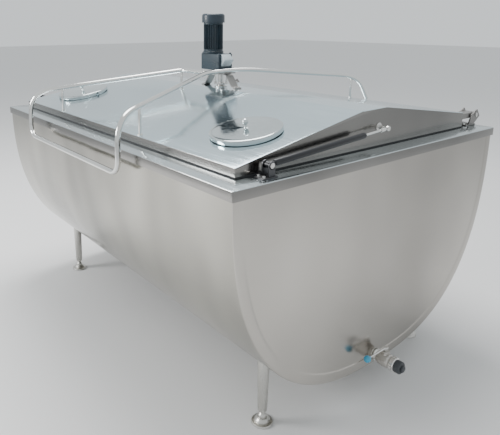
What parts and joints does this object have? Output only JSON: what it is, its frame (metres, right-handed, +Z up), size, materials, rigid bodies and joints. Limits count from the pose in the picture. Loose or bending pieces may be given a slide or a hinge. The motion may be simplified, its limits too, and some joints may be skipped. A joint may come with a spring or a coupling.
{
  "type": "bulk milk tank",
  "caption": "Insulated stainless U-shaped milk cooling trough on adjustable legs, with a rear-hinged gable lid, gas springs, lid-mounted agitator, lift-off covers and a bottom outlet valve.",
  "frame": {"origin": "on the floor, under the centre of the bounding box of the closed tank", "axes": "+X along the tank towards the outlet valve, -Y towards the operator at the front handle, +Z up"},
  "size_m": [2.054, 1.589, 1.466],
  "materials": {
    "brushed_shell": "brushed stainless sheet, fine horizontal grain",
    "vessel_steel": "smooth food-grade stainless sheet",
    "foam": "closed-cell foam",
    "copper": "drawn copper tube",
    "polished_steel": "polished stainless",
    "leg_steel": "satin stainless tube",
    "bracket_steel": "dull stainless plate",
    "fastener_steel": "bright stainless",
    "seal_rubber": "black seal rubber",
    "white_gasket": "white food-grade rubber",
    "gearbox_paint": "dark blue-grey enamel",
    "terminal_grey": "light grey enamel",
    "inner_steel": "machined steel",
    "spring_black": "black gloss enamel",
    "valve_steel": "cast and machined stainless",
    "knob_blue": "glossy moulded plastic",
    "cap_grey": "dark moulded plastic"
  },
  "bodies": {
    "tank": {"outer_shell": "brushed_shell", "end_plate_outlet": "brushed_shell", "end_plate_far": "brushed_shell", "rim_flange": "brushed_shell", "inner_vessel": "vessel_steel", "insulation_jacket": "foam", "evaporator_plate": "vessel_steel", "refrigerant_stubs": "copper", "outlet_pipe": "polished_steel", "leg_front_outlet": "leg_steel", "leg_front_far": "leg_steel", "leg_rear_outlet": "leg_steel", "leg_rear_far": "leg_steel", "hinge_brackets": "bracket_steel", "hinge_pins": "fastener_steel", "hinge_bolts": "fastener_steel", "spring_brackets": "bracket_steel", "spring_bracket_bolts": "fastener_steel", "valve_body": "valve_steel", "valve_seats": "white_gasket", "union_nut": "valve_steel"},
    "lid": {"lid_skin": "brushed_shell", "lid_liner": "vessel_steel", "lid_insulation": "foam", "lid_gasket": "seal_rubber", "manhole_collars": "polished_steel", "hinge_arms": "bracket_steel", "spring_studs": "fastener_steel", "handle_rail": "polished_steel", "rail_posts": "polished_steel", "drive_stool": "bracket_steel", "stool_screws": "fastener_steel", "seal_housing": "polished_steel", "seal_studs": "fastener_steel", "shaft_seal": "seal_rubber", "gearbox_case": "gearbox_paint", "output_bearing": "inner_steel", "terminal_box": "terminal_grey", "motor_case": "gearbox_paint", "fan_cowl": "gearbox_paint"},
    "rotor": {"motor_rotor": "inner_steel"},
    "countershaft": {"gear_countershaft": "inner_steel"},
    "agitator": {"agitator_shaft": "polished_steel", "paddles": "polished_steel"},
    "cover_outlet": {"cover_outlet": "polished_steel", "cover_gasket_outlet": "white_gasket"},
    "cover_far": {"cover_far": "polished_steel", "cover_gasket_far": "white_gasket"},
    "spring_barrel_outlet": {"gas_spring_outlet": "spring_black"},
    "spring_barrel_far": {"gas_spring_far": "spring_black"},
    "spring_rod_outlet": {"spring_rod_outlet": "fastener_steel"},
    "spring_rod_far": {"spring_rod_far": "fastener_steel"},
    "valve_lever": {"valve_ball": "valve_steel", "valve_lever": "valve_steel", "lever_knob": "knob_blue"},
    "blank_cap": {"blank_cap": "cap_grey"},
    "foot_front_outlet": {"foot_front_outlet": "leg_steel"},
    "foot_front_far": {"foot_front_far": "leg_steel"},
    "foot_rear_outlet": {"foot_rear_outlet": "leg_steel"},
    "foot_rear_far": {"foot_rear_far": "leg_steel"}
  },
  "joints": [
    {"name": "lid_hinge", "type": "hinge", "parent": "tank", "child": "lid", "pos_m": [-0.027, 0.7585, 1.022], "axis": [-1, 0, 0], "range_deg": [0, 45]},
    {"name": "agitator_spin", "type": "hinge", "parent": "lid", "child": "agitator", "pos_m": [-0.042, -0.0095, 0.978], "axis": [0, 0, 1], "continuous": true},
    {"name": "countershaft_spin", "type": "hinge", "parent": "lid", "child": "countershaft", "pos_m": [-0.0723, -0.0095, 1.214], "axis": [0, 0, 1], "continuous": true},
    {"name": "motor_spin", "type": "hinge", "parent": "lid", "child": "rotor", "pos_m": [-0.1026, -0.0095, 1.324], "axis": [0, 0, 1], "continuous": true},
    {"name": "cover_lift_outlet", "type": "slide", "parent": "lid", "child": "cover_outlet", "axis": [0, -0.1811, 0.9835], "range_m": [0, 0.15]},
    {"name": "cover_lift_far", "type": "slide", "parent": "lid", "child": "cover_far", "axis": [0, -0.1811, 0.9835], "range_m": [0, 0.15]},
    {"name": "valve_turn", "type": "hinge", "parent": "tank", "child": "valve_lever", "pos_m": [0.946, 0.0105, 0.163], "axis": [0, 0, 1], "range_deg": [0, 90]},
    {"name": "cap_unscrew", "type": "slide", "parent": "tank", "child": "blank_cap", "axis": [1, 0, 0], "range_m": [0, 0.06]},
    {"name": "spring_swing_outlet", "type": "hinge", "parent": "tank", "child": "spring_barrel_outlet", "pos_m": [0.869, -0.5645, 1.016], "axis": [1, 0, 0], "range_deg": [0, 29.78]},
    {"name": "spring_slide_outlet", "type": "slide", "parent": "spring_barrel_outlet", "child": "spring_rod_outlet", "axis": [0, 0.9979, 0.0643], "range_m": [0, 0.40054]},
    {"name": "spring_swing_far", "type": "hinge", "parent": "tank", "child": "spring_barrel_far", "pos_m": [-0.923, -0.5645, 1.016], "axis": [1, 0, 0], "range_deg": [0, 29.78]},
    {"name": "spring_slide_far", "type": "slide", "parent": "spring_barrel_far", "child": "spring_rod_far", "axis": [0, 0.9979, 0.0643], "range_m": [0, 0.40054]},
    {"name": "level_front_outlet", "type": "slide", "parent": "tank", "child": "foot_front_outlet", "axis": [0, 0, -1], "range_m": [0, 0.03]},
    {"name": "level_front_far", "type": "slide", "parent": "tank", "child": "foot_front_far", "axis": [0, 0, -1], "range_m": [0, 0.03]},
    {"name": "level_rear_outlet", "type": "slide", "parent": "tank", "child": "foot_rear_outlet", "axis": [0, 0, -1], "range_m": [0, 0.03]},
    {"name": "level_rear_far", "type": "slide", "parent": "tank", "child": "foot_rear_far", "axis": [0, 0, -1], "range_m": [0, 0.03]}
  ],
  "couplings": [
    {"joint": "countershaft_spin", "follows": "agitator_spin", "ratio": -2.75},
    {"joint": "motor_spin", "follows": "agitator_spin", "ratio": 7.5625},
    {"joint": "spring_swing_outlet", "follows": "lid_hinge", "ratio": 0.66185},
    {"joint": "spring_slide_outlet", "follows": "lid_hinge", "m_per_rad": 0.50998},
    {"joint": "spring_swing_far", "follows": "lid_hinge", "ratio": 0.66185},
    {"joint": "spring_slide_far", "follows": "lid_hinge", "m_per_rad": 0.50998}
  ]
}
